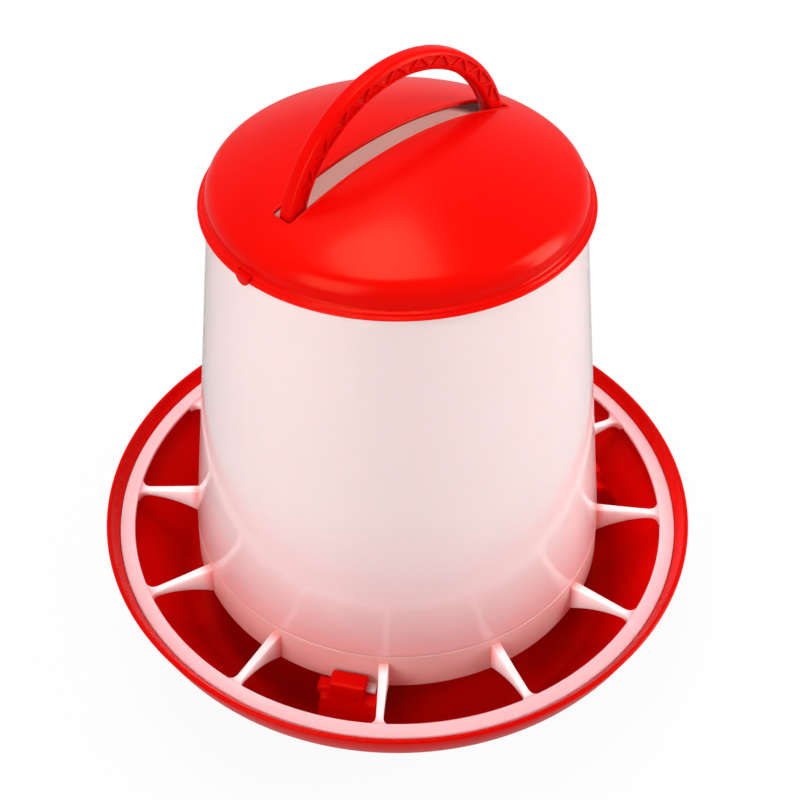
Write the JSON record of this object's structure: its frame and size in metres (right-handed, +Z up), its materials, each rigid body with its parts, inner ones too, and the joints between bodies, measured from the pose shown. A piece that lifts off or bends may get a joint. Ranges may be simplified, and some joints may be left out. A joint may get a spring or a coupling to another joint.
{
  "type": "poultry feeder",
  "caption": "Gravity poultry feeder: round pan with a spoked feeding guard, twist-lock conical hopper, slotted domed lid and an arched carrying handle.",
  "frame": {"origin": "centre of the pan's foot, on the ground", "axes": "+Z up along the hopper's axis, +X along the plane of the handle's arch and the lid's slot"},
  "size_m": [0.27, 0.27, 0.2755],
  "materials": {
    "pan_red": "moulded polypropylene, satin gloss",
    "guard_milky": "translucent moulded polypropylene",
    "hopper_milky": "translucent moulded polypropylene, glossy",
    "lid_red": "moulded polypropylene, glossy",
    "handle_red": "moulded polypropylene, satin gloss"
  },
  "bodies": {
    "pan": {"pan": "pan_red"},
    "hopper": {"hopper": "hopper_milky", "feed_guard": "guard_milky"},
    "handle": {"handle": "handle_red"},
    "lid": {"lid": "lid_red"}
  },
  "joints": [
    {"name": "hopper_twist", "type": "hinge", "parent": "pan", "child": "hopper", "pos_m": [0, 0, 0.0313], "axis": [0, 0, 1], "range_deg": [0, 13]},
    {"name": "handle_swing", "type": "hinge", "parent": "hopper", "child": "handle", "pos_m": [0, 0, 0.2193], "axis": [1, 0, 0], "range_deg": [-2.5, 2.5]},
    {"name": "lid_lift", "type": "slide", "parent": "hopper", "child": "lid", "axis": [0, 0, 1], "range_m": [0, 0.08]}
  ]
}
